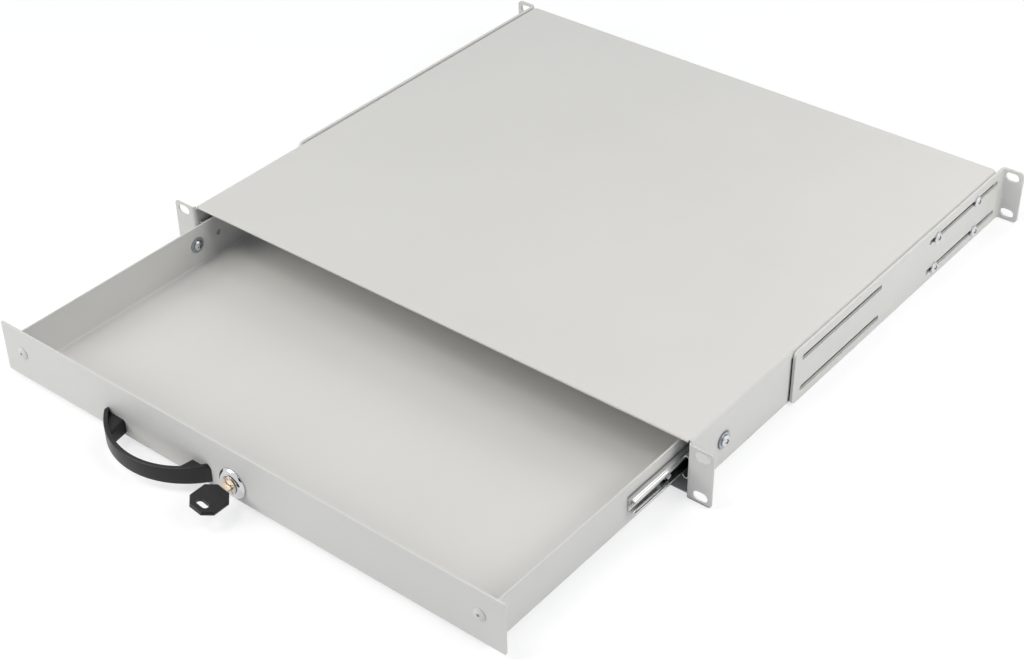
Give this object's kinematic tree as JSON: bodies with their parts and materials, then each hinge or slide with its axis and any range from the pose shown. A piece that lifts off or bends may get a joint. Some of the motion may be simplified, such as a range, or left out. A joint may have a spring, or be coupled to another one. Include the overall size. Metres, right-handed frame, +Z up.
{
  "type": "rack keyboard drawer",
  "caption": "Flat rack-mount drawer for a keyboard: steel cabinet with slotted ears, shallow tray on ball slides, front panel with bow handle and keyed cam lock, sliding rear brackets.",
  "frame": {"origin": "centre of the front rack slots, on the back face of the ears that bears on the posts", "axes": "+X to the right seen from the front, +Y to the back of the rack, +Z up"},
  "size_m": [0.4826, 0.629, 0.044],
  "materials": {
    "powder_coat": "fine light grey powder coat on sheet steel",
    "zinc_steel": "bright zinc plate",
    "ball_steel": "polished steel",
    "chrome": "bright chrome",
    "nickel": "satin nickel on brass",
    "black_plastic": "satin black moulding",
    "cage_plastic": "black moulding"
  },
  "bodies": {
    "cabinet": {"cabinet_shell": "powder_coat", "lock_strike": "powder_coat", "slide_outer_left": "zinc_steel", "slide_outer_right": "zinc_steel", "cabinet_slide_screws": "zinc_steel", "cabinet_slide_washers": "zinc_steel", "cabinet_slide_rivets": "zinc_steel", "rivet_nuts": "zinc_steel", "bracket_screws": "zinc_steel"},
    "drawer": {"tray": "powder_coat", "front_panel": "powder_coat", "panel_screws": "powder_coat", "panel_nuts": "zinc_steel", "handle": "black_plastic", "handle_screws": "zinc_steel", "handle_washers": "zinc_steel", "lock_housing": "chrome", "lock_nut": "zinc_steel", "slide_inner_left": "zinc_steel", "slide_inner_right": "zinc_steel", "tray_slide_screws": "zinc_steel", "tray_slide_washers": "zinc_steel", "tray_slide_nuts": "zinc_steel"},
    "cage_left": {"ball_cage_left": "cage_plastic", "cage_balls_left": "ball_steel"},
    "cage_right": {"ball_cage_right": "cage_plastic", "cage_balls_right": "ball_steel"},
    "lock_core": {"lock_plug": "nickel", "lock_cam": "zinc_steel", "cam_screw": "zinc_steel"},
    "key": {"key_blade": "nickel", "key_head": "black_plastic"},
    "bracket_left": {"rear_bracket_left": "powder_coat"},
    "bracket_right": {"rear_bracket_right": "powder_coat"}
  },
  "joints": [
    {"name": "drawer_slide", "type": "slide", "parent": "cabinet", "child": "drawer", "axis": [0, -1, 0], "range_m": [-0.178, 0.1]},
    {"name": "cage_left_slide", "type": "slide", "parent": "cabinet", "child": "cage_left", "axis": [0, -1, 0], "range_m": [-0.089, 0.05]},
    {"name": "cage_right_slide", "type": "slide", "parent": "cabinet", "child": "cage_right", "axis": [0, -1, 0], "range_m": [-0.089, 0.05]},
    {"name": "lock_turn", "type": "hinge", "parent": "drawer", "child": "lock_core", "pos_m": [0, -0.1808, -0.0052], "axis": [0, 1, 0], "range_deg": [-90, 0]},
    {"name": "key_pull", "type": "slide", "parent": "lock_core", "child": "key", "axis": [0, -1, 0], "range_m": [0, 0.018]},
    {"name": "bracket_left_slide", "type": "slide", "parent": "cabinet", "child": "bracket_left", "axis": [0, 1, 0], "range_m": [-0.0249, 0.0136]},
    {"name": "bracket_right_slide", "type": "slide", "parent": "cabinet", "child": "bracket_right", "axis": [0, 1, 0], "range_m": [-0.0299, 0.0086]}
  ],
  "couplings": [
    {"joint": "cage_left_slide", "follows": "drawer_slide", "ratio": 0.5},
    {"joint": "cage_right_slide", "follows": "drawer_slide", "ratio": 0.5}
  ]
}
